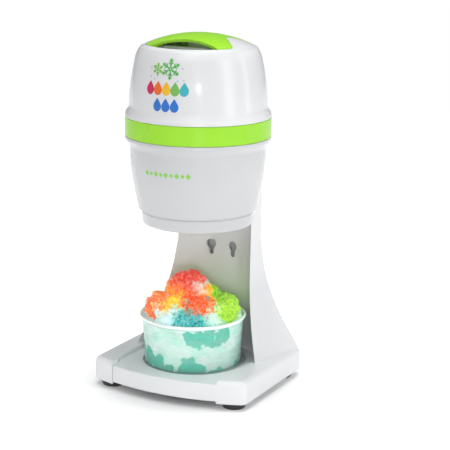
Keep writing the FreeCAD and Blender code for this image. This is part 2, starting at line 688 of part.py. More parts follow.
def pinion():
    """Motor shaft with its pinion cut in one piece."""
    offset = GEAR_MODULE * (GEAR_TEETH + PINION_TEETH) / 2 + 0.1
    wheel = gear(PINION_TEETH, GEAR_Z + 0.5, GEAR_Z + GEAR_T - 0.5, 180.0 / PINION_TEETH)
    shaft = cyl(2.5, GEAR_Z - 2.5, GEAR_PLATE_Z + 14)
    body = wheel.fuse(shaft).removeSplitter()
    body.translate(V(offset, 0, 0))
    return body


def motor():
    """Motor can with its end bosses and terminals, standing on the gear plate."""
    x = MOTOR_X
    low = GEAR_PLATE_Z + 3.0
    can = cyl(24.0, low, low + 28.0, x)
    rims = [e for e in can.Edges if len(e.Vertexes) == 1]
    can = can.makeFillet(2.0, rims)
    cap = cyl(8.0, low + 27, low + 31.0, x)
    tags = [box(x - 2.5, x + 2.5, s * 14 - 0.5, s * 14 + 0.5, low + 27, low + 33) for s in (-1, 1)]
    bore = cyl(2.9, low - 1, low + 13, x)
    return can.fuse([cap] + tags).cut(bore).removeSplitter()


def gear_plate():
    """Steel plate on the posts: it carries the motor and the top of the spindle."""
    plate = box(-40, 58, -30, 30, GEAR_PLATE_Z, GEAR_PLATE_Z + 3.0)
    corners = [e for e in plate.Edges if abs(e.BoundBox.ZLength - 3.0) < 0.01]
    plate = plate.makeFillet(8.0, corners)
    screw_holes = [cyl(1.7, 320, 340, x, y) for x, y in GEAR_POSTS]
    return plate.cut([cyl(2.9, 320, 340, MOTOR_X), cyl(6.4, 320, 340)] + screw_holes)


def micro_switch():
    """Snap-action switch on the gear plate, under the grip's long stem."""
    x = STEM_X[0]
    low = GEAR_PLATE_Z + 3.0
    body = box(x - 10, x + 10, -6, 6, low, low + 14)
    tags = [box(x + k - 1.5, x + k + 1.5, -8, -5.5, low + 3, low + 8) for k in (-6, 6)]
    return body.fuse(tags).removeSplitter()


def switch_plunger():
    """Rod that carries the grip's movement down to the switch."""
    x = STEM_X[0]
    rod = cyl(3.0, GEAR_PLATE_Z + 3.0 + 14.0 + HANDLE_TRAVEL + 0.4, WELL_FLOOR - 6.0, x)
    return rod


def contact_socket():
    """Live socket at the rear of the bowl that the head's plug drops into."""
    body = box(-8.8, 8.8, 66.0, 72.8, 264, 285.8)
    slots = [box(s * 4 - 1.6, s * 4 + 1.6, 67.6, 71.2, 270, 290) for s in (-1, 1)]
    return body.cut(slots)


def contact_plug():
    """Two-pin plug under the head floor, entering the socket as the head is lowered."""
    block = box(-6.9, 6.9, 68.1, 72.7, 290.0, HEAD_BOTTOM + 5.0)
    pins = [box(s * 4 - 1.0, s * 4 + 1.0, 68.4, 70.4, 274, 292) for s in (-1, 1)]
    return block.fuse(pins).removeSplitter()


def cord_gland():
    """Round bush in the rear wall that the mains lead would pass through."""
    barrel = Part.makeCylinder(GLAND_R, 7.0, V(0, BASE_REAR - 5.5, GLAND_Z), V(0, 1, 0))
    proud = -(BASE_FRONT + TRAY_SET_BACK) - BASE_REAR
    flange = Part.makeCone(GLAND_R + 2.5, GLAND_R + 0.5, proud, V(0, BASE_REAR, GLAND_Z), V(0, 1, 0))
    bore = Part.makeCylinder(3.5, 60, V(0, BASE_REAR - 30, GLAND_Z), V(0, 1, 0))
    return barrel.fuse(flange).cut(bore).removeSplitter()


def inner_lead():
    """Two-core lead inside the machine, from the gland up the column to the socket."""
    bend = 7.5
    section = Part.Face(Part.Wire(Part.makeCircle(LEAD_R, V(0, LEAD_Y + bend, GLAND_Z), V(0, 1, 0))))
    quarter = section.revolve(V(0, LEAD_Y + bend, GLAND_Z + bend), V(1, 0, 0), -90)
    rise = cyl(LEAD_R, GLAND_Z + bend, COLUMN_SEAM + 8.0, 0, LEAD_Y)
    return quarter.fuse(rise).removeSplitter()


# ---------------------------------------------------------------- cup and serving
def cup():
    """Straight-sided tapered cup with a rolled rim and a foot ring."""
    z = TRAY_TOP - SEAT_DEPTH
    w = CUP_WALL
    top = z + CUP_H
    lip = CUP_R_RIM
    ring_r = CUP_R_LOW - 5
    edges = [line(rz(0, z + 1.2), rz(ring_r, z + 1.2)), line(rz(ring_r, z + 1.2), rz(ring_r, z))]
    edges.append(line(rz(CUP_R_LOW - 5, z), rz(CUP_R_LOW - 1.5, z)))
    edges.append(arc(rz(CUP_R_LOW - 1.5, z), rz(CUP_R_LOW - 0.4, z + 0.5), rz(CUP_R_LOW, z + 1.6)))
    edges.append(line(rz(CUP_R_LOW, z + 1.6), rz(lip - 1.8, top - 3.4)))
    edges.append(line(rz(lip - 1.8, top - 3.4), rz(lip, top - 3.0)))
    edges.append(arc(rz(lip, top - 3.0), rz(lip - 1.0, top - 0.4), rz(lip - 3.4, top)))
    edges.append(line(rz(lip - 3.4, top), rz(lip - 3.4, top - 3.4)))
    edges.append(line(rz(lip - 3.4, top - 3.4), rz(CUP_R_LOW - w, z + 2.8)))
    edges.append(line(rz(CUP_R_LOW - w, z + 2.8), rz(0, z + 2.8)))
    edges.append(line(rz(0, z + 2.8), rz(0, z + 1.2)))
    body = turned(edges)
    body.translate(V(CUP_X, SEAT_Y, 0))
    return body


def shaved_ice():
    """Loose ice that fills the cup and stands in a mound above the rim."""
    z = TRAY_TOP - SEAT_DEPTH
    rim = z + CUP_H
    edges = [line(rz(0, z + 2.9), rz(CUP_R_LOW - CUP_WALL - 0.3, z + 2.9))]
    edges.append(line(rz(CUP_R_LOW - CUP_WALL - 0.3, z + 2.9), rz(58.9, rim - 3.6)))
    edges.append(line(rz(58.9, rim - 3.6), rz(58.9, rim + 4.0)))
    ball_r = (58.9 ** 2 + (ICE_PEAK - 4.0) ** 2) / (2 * (ICE_PEAK - 4.0))
    half = ball_r * math.sqrt(0.5)
    edges.append(arc(rz(58.9, rim + 4.0), rz(half, rim + ICE_PEAK - ball_r + half), rz(0, rim + ICE_PEAK)))
    edges.append(line(rz(0, rim + ICE_PEAK), rz(0, z + 2.9)))
    body = turned(edges)
    body.translate(V(CUP_X, SEAT_Y, 0))
    return body


# ---------------------------------------------------------------- write every node
save("base_shell", base_shell())
save("tray_plate", tray_plate())
save("bottom_plate", bottom_plate())
FOOT_NAMES = ("foot_front_left", "foot_front_right", "foot_rear_left", "foot_rear_right")
for name, (x, y) in zip(FOOT_NAMES, foot_places()):
    save(name, foot(x, y))
save("foot_screws", *[screw(x, y, -FOOT_H + 3.4, 9.0, 3.4, 1.8, -1) for x, y in foot_places()])
save("rear_cover", rear_cover())
save("cover_screws", *[cover_screw(x, z) for x, z in COVER_SCREWS])
save("neck_bracket", neck_bracket())
save("bowl_shell", bowl_shell())
save("chute_ring", chute_ring())
save("ice_chamber", ice_chamber())
save("blade_plate", blade_plate())
save("blade", blade())
save("blade_screws", *[screw(x, -9.5, PLATE_Z - 1.2, 3.0, 2.8, 1.2, -1) for x in BLADE_SCREW_X])
save("contact_socket", contact_socket())
save("cord_gland", cord_gland())
save("inner_lead", inner_lead())
save("lock_ring", lock_ring())
save("head_cover", head_cover())
save("handle_well", handle_well())
save("head_floor", head_floor())
save("seal_ring", tube(77.4, 75.2, 289.2, 290.95))
save("bearing", bearing())
save("gear_plate", gear_plate())
save("gear_plate_screws", *[screw(x, y, GEAR_PLATE_Z + 3.0, 9.0) for x, y in GEAR_POSTS])
save("motor", motor())
save("micro_switch", micro_switch())
save("contact_plug", contact_plug())
save("handle", handle())
save("switch_plunger", switch_plunger())
save("handle_springs", *[spring(6.6, 0.6, WELL_FLOOR + 0.05, SPRING_TOP - 0.05, 6, x) for x in STEM_X])
save("drive_gear", drive_gear())
save("spindle", spindle())
save("motor_pinion", pinion())
save("presser_disc", presser_disc())
save("presser_hub", presser_hub())
save("presser_spring", spring(12.5, 0.9, PRESSER_Z + 6.2, 305.8, 9))
save("cup", cup())
save("shaved_ice", shaved_ice())
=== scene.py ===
import json
import math
import random
import bpy
import numpy as np
from mathutils import Matrix, Vector, noise
from mathutils.bvhtree import BVHTree


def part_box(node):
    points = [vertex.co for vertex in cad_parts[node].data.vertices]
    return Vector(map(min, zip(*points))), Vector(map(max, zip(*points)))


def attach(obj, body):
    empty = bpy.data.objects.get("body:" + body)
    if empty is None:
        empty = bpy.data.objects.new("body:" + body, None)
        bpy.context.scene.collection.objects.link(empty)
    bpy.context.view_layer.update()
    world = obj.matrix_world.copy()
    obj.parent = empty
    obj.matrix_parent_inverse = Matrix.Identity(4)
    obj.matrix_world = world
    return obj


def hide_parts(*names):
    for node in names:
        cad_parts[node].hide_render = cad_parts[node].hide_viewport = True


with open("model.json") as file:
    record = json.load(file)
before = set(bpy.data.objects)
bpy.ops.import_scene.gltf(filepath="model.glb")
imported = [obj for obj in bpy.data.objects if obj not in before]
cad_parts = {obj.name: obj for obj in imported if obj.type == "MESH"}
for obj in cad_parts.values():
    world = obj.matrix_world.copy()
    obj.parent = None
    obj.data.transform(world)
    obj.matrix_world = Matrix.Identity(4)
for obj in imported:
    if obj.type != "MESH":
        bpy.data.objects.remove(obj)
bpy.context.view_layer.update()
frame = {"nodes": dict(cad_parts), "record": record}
nodes = frame["nodes"]
MM = 0.001
CAMERA_AZIMUTH = 27.30


# ---------------------------------------------------------------- materials
class Surface:
    """A node material around one Principled shader, with its pattern nodes in object space."""

    def __init__(self, name, color, roughness, metallic=0.0, **sockets):
        self.material = bpy.data.materials.new(name)
        self.material.use_nodes = True
        self.tree = self.material.node_tree
        self.shader = self.tree.nodes["Principled BSDF"]
        self.shader.inputs["Base Color"].default_value = (*color, 1.0)
        self.shader.inputs["Roughness"].default_value = roughness
        self.shader.inputs["Metallic"].default_value = metallic
        for key, value in sockets.items():
            self.shader.inputs[key.replace("_", " ")].default_value = value
        self.place = self.node("ShaderNodeTexCoord").outputs["Object"]
        self.normal = None

    def node(self, kind, **settings):
        made = self.tree.nodes.new(kind)
        for key, value in settings.items():
            setattr(made, key, value)
        return made

    def link(self, source, target):
        self.tree.links.new(source, target)

    def noise(self, scale, detail=3.0, rough=0.5, stretch=None):
        """A noise field; stretch gives a different scale along each axis."""
        made = self.node("ShaderNodeTexNoise")
        made.inputs["Scale"].default_value = scale
        made.inputs["Detail"].default_value = detail
        made.inputs["Roughness"].default_value = rough
        source = self.place
        if stretch:
            mapping = self.node("ShaderNodeMapping")
            mapping.inputs["Scale"].default_value = stretch
            self.link(self.place, mapping.inputs["Vector"])
            source = mapping.outputs["Vector"]
        self.link(source, made.inputs["Vector"])
        return made.outputs["Fac"]

    def remap(self, value, from_low, from_high, to_low, to_high, smooth=False):
        made = self.node("ShaderNodeMapRange", interpolation_type="SMOOTHSTEP" if smooth else "LINEAR")
        made.inputs["From Min"].default_value = from_low
        made.inputs["From Max"].default_value = from_high
        made.inputs["To Min"].default_value = to_low
        made.inputs["To Max"].default_value = to_high
        self.link(value, made.inputs["Value"])
        return made.outputs["Result"]

    def math(self, operation, a, b):
        made = self.node("ShaderNodeMath", operation=operation)
        for socket, value in zip(made.inputs, (a, b)):
            if isinstance(value, (int, float)):
                socket.default_value = value
            else:
                self.link(value, socket)
        return made.outputs[0]

    def mix(self, factor, a, b):
        """Colour a where factor is 0, b where it is 1."""
        made = self.node("ShaderNodeMix", data_type="RGBA")
        self.link(factor, made.inputs["Factor"])
        for socket, value in ((made.inputs[6], a), (made.inputs[7], b)):
            if isinstance(value, tuple):
                socket.default_value = (*value, 1.0)
            else:
                self.link(value, socket)
        return made.outputs[2]

    def near(self, point, radius, soft, wobble=None):
        """1 inside a ball about point, falling to 0 over soft; wobble pushes its edge about."""
        shift = self.node("ShaderNodeVectorMath", operation="DISTANCE")
        self.link(self.place, shift.inputs[0])
        shift.inputs[1].default_value = point
        distance = shift.outputs["Value"]
        if wobble is not None:
            distance = self.math("ADD", distance, wobble)
        return self.remap(distance, radius - soft, radius + soft, 1.0, 0.0, True)

    def color_from(self, output):
        self.link(output, self.shader.inputs["Base Color"])

    def rough_from(self, value, low, high):
        self.link(self.remap(value, 0.3, 0.7, low, high), self.shader.inputs["Roughness"])

    def bump(self, height, distance, strength=1.0):
        made = self.node("ShaderNodeBump")
        made.inputs["Distance"].default_value = distance
        made.inputs["Strength"].default_value = strength
        self.link(height, made.inputs["Height"])
        if self.normal is not None:
            self.link(self.normal, made.inputs["Normal"])
        self.normal = made.outputs["Normal"]
        self.link(self.normal, self.shader.inputs["Normal"])


def white_shell(name, dark, light):
    """Glossy injection-moulded ABS: faintly cloudy between two tones, with a slow change of gloss."""
    s = Surface(name, light, 0.24, Specular_IOR_Level=0.5, Coat_Weight=0.25, Coat_Roughness=0.08)
    cloud = s.noise(9.0, 2.0)
    s.color_from(s.mix(s.remap(cloud, 0.35, 0.65, 0.0, 1.0), dark, light))
    s.rough_from(s.noise(26.0, 1.0), 0.22, 0.27)
    return s.material


def lime_trim():
    """Glossy lime green plastic."""
    dark = (0.31, 0.71, 0.016)
    light = (0.35, 0.75, 0.024)
    coat = {"Coat_Weight": 0.1, "Coat_Roughness": 0.15}
    s = Surface("lime_trim_plastic", light, 0.3, Specular_IOR_Level=0.38, **coat)
    cloud = s.noise(14.0, 2.0)
    s.color_from(s.mix(s.remap(cloud, 0.35, 0.65, 0.0, 1.0), dark, light))
    s.rough_from(s.noise(26.0, 1.0), 0.26, 0.31)
    s.bump(s.noise(24.0, 1.0), 0.00015, 0.2)
    return s.material


def black_rubber():
    """Moulded rubber with dust in its pores."""
    s = Surface("black_rubber_moulded", (0.012, 0.012, 0.013), 0.32, Coat_Weight=0.35, Coat_Roughness=0.2)
    pores = s.noise(900.0, 4.0, 0.7)
    s.color_from(s.mix(s.remap(pores, 0.55, 0.8, 0.0, 1.0), (0.011, 0.011, 0.012), (0.045, 0.045, 0.047)))
    s.rough_from(s.noise(300.0, 3.0), 0.26, 0.46)
    s.bump(pores, 0.00004, 0.5)
    return s.material


def dark_plastic():
    """Black plastic with a fine grain."""
    s = Surface("dark_plastic_grained", (0.03, 0.03, 0.034), 0.5)
    grain = s.noise(1500.0, 3.0, 0.6)
    s.rough_from(grain, 0.42, 0.6)
    s.bump(grain, 0.00003, 0.6)
    return s.material


def gear_plastic():
    """Cream acetal, slightly cloudy."""
    s = Surface("gear_acetal", (0.80, 0.77, 0.66), 0.42, Subsurface_Weight=0.08, Subsurface_Scale=0.002)
    cloud = s.noise(40.0, 3.0)
    s.color_from(s.mix(cloud, (0.74, 0.70, 0.58), (0.84, 0.81, 0.71)))
    s.rough_from(s.noise(500.0, 3.0), 0.36, 0.5)
    s.bump(s.noise(1100.0, 3.0), 0.00002, 0.5)
    return s.material


def brushed_steel(name, color, low, high, stretch):
    """Steel with fine scratches; an uneven stretch draws them out along one direction."""
    s = Surface(name, color, (low + high) / 2, 1.0)
    lines = s.noise(60.0, 6.0, 0.7, stretch)
    s.rough_from(lines, low, high)
    tone = tuple(c * 0.82 for c in color)
    s.color_from(s.mix(lines, tone, color))
    s.bump(lines, 0.00002, 0.35)
    return s.material


def seal_rubber():
    """Grey silicone."""
    s = Surface("seal_silicone", (0.50, 0.51, 0.52), 0.55, Subsurface_Weight=0.1, Subsurface_Scale=0.001)
    s.bump(s.noise(700.0, 3.0), 0.00003, 0.5)
    return s.material


def bronze():
    """Sintered bronze with pores."""
    s = Surface("sintered_bronze", (0.52, 0.36, 0.17), 0.4, 1.0)
    pores = s.noise(1800.0, 3.0, 0.7)
    s.color_from(s.mix(pores, (0.40, 0.26, 0.11), (0.58, 0.41, 0.20)))
    s.rough_from(pores, 0.3, 0.55)
    s.bump(pores, 0.00003, 0.6)
    return s.material


# These two get a copy of the white plastic a tone darker than the other white parts: painted shade, for
# their plastic is the same
SHADED_BOWL_NODES = ("bowl_shell", "chute_ring")
PALETTE = {
    "white_shell": white_shell("white_shell_plastic", (0.735, 0.742, 0.755), (0.775, 0.78, 0.787)),
    "painted_shade_bowl": white_shell("painted_shade_bowl_plastic", (0.55, 0.556, 0.568), (0.585, 0.59, 0.597)),
    "lime_trim": lime_trim(),
    "black_rubber": black_rubber(),
    "dark_plastic": dark_plastic(),
    "gear_plastic": gear_plastic(),
    "stainless": brushed_steel("stainless_brushed", (0.70, 0.71, 0.73), 0.18, 0.34, (1, 30, 30)),
    "motor_steel": brushed_steel("motor_can_steel", (0.56, 0.57, 0.60), 0.25, 0.42, (25, 25, 1)),
    "spring_steel": brushed_steel("spring_wire_steel", (0.62, 0.63, 0.66), 0.22, 0.36, (12, 12, 12)),
    "bronze": bronze(),
    "seal_rubber": seal_rubber(),
}


def dress(obj, material):
    obj.data.materials.clear()
    obj.data.materials.append(material)


def dress_cad_nodes():
    """Every CAD node that shows gets the finished material of its record slot, save the bowl nodes, which
    get the darker white copy: painted shade.
    """
    slots = {row["node"]: row["material_slot"] for row in frame["record"]["subparts"]}
    for name, obj in nodes.items():
        # The bowl nodes take the darker white copy: painted shade
        kind = "painted_shade_bowl" if name in SHADED_BOWL_NODES else slots[name]
        if kind in PALETTE:
            dress(obj, PALETTE[kind])


dress_cad_nodes()


# ---------------------------------------------------------------- mesh helpers
def add_piece(name, verts, faces, material, body, smooth=True):
    """A new mesh piece that rides on a body."""
    mesh = bpy.data.meshes.new(name)
    mesh.from_pydata([tuple(v) for v in verts], [], faces)
    mesh.validate()
    mesh.update()
    obj = bpy.data.objects.new(name, mesh)
    bpy.context.scene.collection.objects.link(obj)
    for polygon in mesh.polygons:
        polygon.use_smooth = smooth
    dress(obj, material)
    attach(obj, body)
    return obj


def surface_tree(node):
    """A CAD node's mesh, ready for rays."""
    mesh = nodes[node].data
    return BVHTree.FromPolygons([v.co for v in mesh.vertices], [tuple(p.vertices) for p in mesh.polygons])


# Rays towards a shell start this far from the head's axis, outside every part
RAY_START = 0.2
skins = {name: surface_tree(name) for name in ("head_cover", "bowl_shell")}


def skin_radius(node, angle, height):
    """Outer radius of a turned CAD shell about the head's axis; angle 0 faces the front."""
    outward = Vector((math.sin(angle), -math.cos(angle), 0.0))
    start = outward * RAY_START + Vector((0, 0, height))
    hit = skins[node].ray_cast(start, -outward)[0]
    return math.hypot(hit.x, hit.y)


# ---------------------------------------------------------------- printed marks
PRINT_LIFT = 0.00008
PRINT_THICK = 0.00012
# The prints face this many degrees to the right of the front; their heights and spacings are in metres
PRINT_AZIMUTH = 1.0
CRYSTAL_Z = 0.3805
FLAKES_Z = 0.3775
DROPS_Z = 0.3575
LOW_DROPS_Z = 0.3395
DIAMONDS_Z = 0.2627
FLAKE_R = 0.0008
DROP_PITCH = 0.0106
DIAMOND_PITCH = 0.0066


def ink(name, color):
    """Pad-printed ink: even colour, a little rougher than the gloss under it."""
    s = Surface(name, color, 0.34, Coat_Weight=0.2, Coat_Roughness=0.15)
    fine = s.noise(1400.0, 3.0)
    s.rough_from(fine, 0.30, 0.42)
    s.color_from(s.mix(s.remap(fine, 0.3, 0.7, 0.0, 1.0), tuple(c * 0.93 for c in color), color))
    return s.material


def print_on(name, node, outlines, azimuth, height, material, body):
    """Thin printed shapes wrapped on a turned shell; outlines are in metres, x to the right and z up."""
    verts = []
    faces = []
    top = PRINT_LIFT + PRINT_THICK
    for outline in outlines:
        count = len(outline)
        cx = sum(p[0] for p in outline) / count
        cz = sum(p[1] for p in outline) / count
        rings = []
        for lift, size in ((PRINT_LIFT, 1.0), (top, 0.985), (top, 0.5)):
            start = len(verts)
            for x, z in outline:
                px = cx + (x - cx) * size
                pz = cz + (z - cz) * size
                verts.append(wrapped(node, px, pz, azimuth, height, lift))
            rings.append(start)
        verts.append(wrapped(node, cx, cz, azimuth, height, top))
        middle = len(verts) - 1
        verts.append(wrapped(node, cx, cz, azimuth, height, PRINT_LIFT))
        under = len(verts) - 1
        for k in range(count):
            n = (k + 1) % count
            for low, high in zip(rings, rings[1:]):
                faces.append((low + k, low + n, high + n, high + k))
            faces.append((rings[-1] + k, rings[-1] + n, middle))
            faces.append((rings[0] + n, rings[0] + k, under))
    return add_piece(name, verts, faces, material, body, smooth=False)


def wrapped(node, x, z, azimuth, height, lift):
    """A point of a flat drawing laid on the shell round the head's axis; azimuth 0 faces the front."""
    level = height + z
    middle = math.radians(azimuth)
    angle = middle + x / skin_radius(node, middle, level)
    radius = skin_radius(node, angle, level) + lift
    return (radius * math.sin(angle), -radius * math.cos(angle), level)


def dot(cx, cz, radius, count=12):
    """A small round mark."""
    angles = [2 * math.pi * k / count for k in range(count)]
    return [(cx + radius * math.cos(a), cz + radius * math.sin(a)) for a in angles]


def drop(cx, cz, size, count=30):
    """A falling drop: round below, drawn to a point on top."""
    points = []
    for k in range(count):
        t = 2 * math.pi * k / count
        pull = 1.0 - 0.55 * max(0.0, math.sin(t)) ** 3
        up = math.sin(t) * (1.0 + 0.55 * max(0.0, math.sin(t)) ** 2)
        points.append((cx + size * 0.72 * math.cos(t) * pull, cz + size * 0.8 * up))
    return points


def bar(x0, z0, x1, z1, width):
    """A straight stroke with square ends, split along its length so that it can bend round the shell."""
    length = math.hypot(x1 - x0, z1 - z0)
    nx = -(z1 - z0) / length * width / 2
    nz = (x1 - x0) / length * width / 2
    steps = 4
    forth = [(x0 + (x1 - x0) * k / steps + nx, z0 + (z1 - z0) * k / steps + nz) for k in range(steps + 1)]
    back = [(x - 2 * nx, z - 2 * nz) for x, z in reversed(forth)]
    return forth[::-1] + back[::-1]


def snow_star(cx, cz, reach, width, arms=6):
    """A six-armed snow crystal with two pairs of side branches on each arm."""
    strokes = []
    for k in range(arms):
        a = math.pi / 2 + 2 * math.pi * k / arms
        ux = math.cos(a)
        uz = math.sin(a)
        inner = reach * 0.06
        strokes.append(bar(cx + ux * inner, cz + uz * inner, cx + ux * reach, cz + uz * reach, width))
        for along, branch in ((0.45, 0.30), (0.72, 0.22)):
            for side in (-1, 1):
                b = a + side * math.radians(55)
                x0 = cx + ux * reach * along
                z0 = cz + uz * reach * along
                x1 = x0 + math.cos(b) * reach * branch
                z1 = z0 + math.sin(b) * reach * branch
                strokes.append(bar(x0, z0, x1, z1, width * 0.8))
    return strokes


def add_prints():
    """A snow crystal over two rows of drops on the dome, and a row of small diamonds on the bowl."""
    inks = {
        "leaf": ink("ink_leaf", (0.12, 0.50, 0.10)),
        "magenta": ink("ink_magenta", (0.62, 0.02, 0.10)),
        "orange": ink("ink_orange", (0.86, 0.16, 0.02)),
        "yellow": ink("ink_yellow", (0.90, 0.52, 0.03)),
        "green": ink("ink_green", (0.20, 0.50, 0.10)),
        "aqua": ink("ink_aqua", (0.05, 0.45, 0.52)),
        "blue": ink("ink_blue", (0.02, 0.17, 0.60)),
        "lime": ink("ink_lime", (0.24, 0.60, 0.08)),
        "pale": ink("ink_pale_blue", (0.35, 0.42, 0.70)),
    }
    turn = PRINT_AZIMUTH
    dome = "head_cover"
    head = "motor_head"
    star = snow_star(0.0035, 0.0, 0.0115, 0.0018)
    print_on("print_crystal", dome, star, turn, CRYSTAL_Z, inks["leaf"], head)
    small_star = snow_star(-0.0125, -0.001, 0.0070, 0.0014)
    print_on("print_crystal_small", dome, small_star, turn, CRYSTAL_Z, inks["lime"], head)
    left = [(-0.022, 0.003), (-0.021, -0.006), (-0.016, -0.0085)]
    right = [(0.013, -0.0095), (0.0175, 0.004), (0.020, -0.0085)]
    flakes = [dot(x, z, FLAKE_R) for x, z in left + right]
    print_on("print_flakes", dome, flakes, turn, FLAKES_Z, inks["pale"], head)
    for k, color in enumerate(["magenta", "orange", "yellow", "green", "aqua"]):
        shape = drop((k - 2) * DROP_PITCH, 0.0, 0.0074)
        print_on("print_drop_" + color, dome, [shape], turn, DROPS_Z, inks[color], head)
    low = [drop((k - 1) * DROP_PITCH, 0.0, 0.0072) for k in range(3)]
    print_on("print_drops_blue", dome, low, turn, LOW_DROPS_Z, inks["blue"], head)
    marks = []
    for k in range(9):
        x = (k - 4) * DIAMOND_PITCH
        size = 0.0024 if k % 2 else 0.0031
        marks.append([(x + size, 0.0), (x, size * 1.15), (x - size, 0.0), (x, -size * 1.15)])
    print_on("print_diamonds", "bowl_shell", marks, turn, DIAMONDS_Z, inks["lime"], "stand")


add_prints()


# ---------------------------------------------------------------- cup and shaved ice
cup_low, cup_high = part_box("cup")
CUP_MIDDLE = Vector(((cup_low[0] + cup_high[0]) / 2, (cup_low[1] + cup_high[1]) / 2, 0.0))
RIM = cup_high[2]
CUP_FOOT = cup_low[2]
CUP_R_TOP = (cup_high[0] - cup_low[0]) / 2
ICE_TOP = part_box("shaved_ice")[1][2]
VIEW_ANGLE = math.radians(CAMERA_AZIMUTH)
SIDE = Vector((math.cos(VIEW_ANGLE), math.sin(VIEW_ANGLE), 0.0))
FRONT = Vector((math.sin(VIEW_ANGLE), -math.cos(VIEW_ANGLE), 0.0))


def on_mound(side, front, height):
    """A place from the middle of the rim, in millimetres: right and forward for the camera, and up."""
    return CUP_MIDDLE + (SIDE * side + FRONT * front) * MM + Vector((0, 0, RIM + height * MM))


# Heaps of ice: side, front, height and radius, in millimetres
HEAPS = [
    (-4, 2, 20, 30), (-39, 0, 8, 17), (-32, 16, 6, 18), (36, 4, 5, 20), (33, 20, 1, 18), (12, -8, 10, 24),
    (-14, 22, 6, 24), (12, 25, 5, 24), (-18, -16, 4, 22), (18, -24, 0, 22), (-4, 38, -7, 20),
    (-24, 34, -7, 18), (20, 36, -8, 18), (-47, 4, -3, 12), (0, -36, -5, 20), (46, -2, -4, 13),
    (-40, -24, -8, 12), (40, -24, -8, 12),
]
MOUND_TURNS = 420
MOUND_LEVELS = 150
CHIP_COUNT = 5200
CHIP_SEED = 7


def mound_reach(start, direction):
    """Distance from start to the outside of the joined heaps along direction."""
    best = 0.0
    for side, front, height, radius in HEAPS:
        rel = on_mound(side, front, height) - start
        along = rel.dot(direction)
        miss = rel.length_squared - along * along
        r = radius * MM
        if miss < r * r:
            best = max(best, along + math.sqrt(r * r - miss))
    return best


def grain(point):
    """Clumps, lumps and crystals of packed ice as one height in metres, positive and negative."""
    coarse = noise.noise(point * 80.0) * 0.0042
    clumps = (0.5 - noise.voronoi(point * 150.0)[0][0]) * 0.0064
    ridges = (0.5 - abs(noise.noise(point * 330.0))) * 0.0022
    fine = noise.noise(point * 700.0) * 0.0010
    return coarse + clumps + ridges + fine


def limit_inside(point):
    """Keeps a point of the mound inside the ice's own space over the cup."""
    flat = Vector((point.x - CUP_MIDDLE.x, point.y - CUP_MIDDLE.y, 0))
    reach = CUP_R_TOP - 0.0042
    if flat.length > reach:
        flat *= reach / flat.length
    z = min(point.z, ICE_TOP - 0.0004)
    return Vector((CUP_MIDDLE.x + flat.x, CUP_MIDDLE.y + flat.y, z))


def make_mound():
    """The mound: joined heaps, pushed in and out by clumps and crystals, closed down into the cup."""
    start = CUP_MIDDLE + Vector((0, 0, RIM - 0.012))
    turns = MOUND_TURNS
    levels = MOUND_LEVELS
    verts = []
    smooth_rings = []
    for j in range(levels):
        pitch = math.radians(90.0 - 96.0 * (j + 0.5) / levels)
        ring = []
        for i in range(turns):
            a = 2 * math.pi * i / turns
            level = math.cos(pitch)
            direction = Vector((math.cos(a) * level, math.sin(a) * level, math.sin(pitch)))
            ring.append((direction, mound_reach(start, direction)))
        smooth_rings.append(ring)
    reach = np.array([[max(r, 0.03) for _, r in ring] for ring in smooth_rings])
    for _ in range(3):
        reach = (reach * 2 + np.roll(reach, 2, 1) + np.roll(reach, -2, 1)) / 4
        padded = np.vstack([reach[:1], reach, reach[-1:]])
        reach = (padded[:-2] + padded[1:-1] * 2 + padded[2:]) / 4
    for j in range(levels):
        for i in range(turns):
            direction = smooth_rings[j][i][0]
            point = start + direction * float(reach[j, i])
            verts.append(limit_inside(point + direction * (grain(point) - 0.0022)))
    faces = []
    for j in range(levels - 1):
        for i in range(turns):
            n = (i + 1) % turns
            faces.append((j * turns + i, (j + 1) * turns + i, (j + 1) * turns + n, j * turns + n))
    faces.append(tuple(range(turns)))
    verts.append(start + Vector((0, 0, -0.002)))
    foot = len(verts) - 1
    last = (levels - 1) * turns
    for i in range(turns):
        faces.append((last + i, foot, last + (i + 1) % turns))
    return verts, faces


def crystal(rng, place, size):
    """A small irregular chip: a squashed octahedron."""
    axes = [Vector((rng.uniform(-1, 1), rng.uniform(-1, 1), rng.uniform(-1, 1))).normalized()]
    axes.append(axes[0].orthogonal().normalized())
    axes.append(axes[0].cross(axes[1]))
    verts = []
    for axis in axes:
        for sign in (-1, 1):
            verts.append(place + axis * sign * size * rng.uniform(0.45, 1.0))
    faces = []
    for x in (0, 1):
        for y in (2, 3):
            for z in (4, 5):
                corner = (x, y, z)
                flip = (x + y + z) % 2 == 0
                faces.append(corner if flip else corner[::-1])
    return verts, faces


def make_crystals(mound_verts, count, seed):
    """Loose chips that sit half sunk all over the mound."""
    rng = random.Random(seed)
    verts = []
    faces = []
    usable = [v for v in mound_verts if v.z > RIM - 0.001]
    for _ in range(count):
        spot = rng.choice(usable)
        size = MM * rng.choice((0.7, 0.9, 1.1, 1.4, 1.9))
        inward = (CUP_MIDDLE + Vector((0, 0, RIM)) - spot).normalized()
        place = limit_inside(spot + inward * size * rng.uniform(0.2, 0.9))
        new_verts, new_faces = crystal(rng, place, size)
        base = len(verts)
        verts += [limit_inside(v) for v in new_verts]
        faces += [tuple(base + k for k in face) for face in new_faces]
    return verts, faces


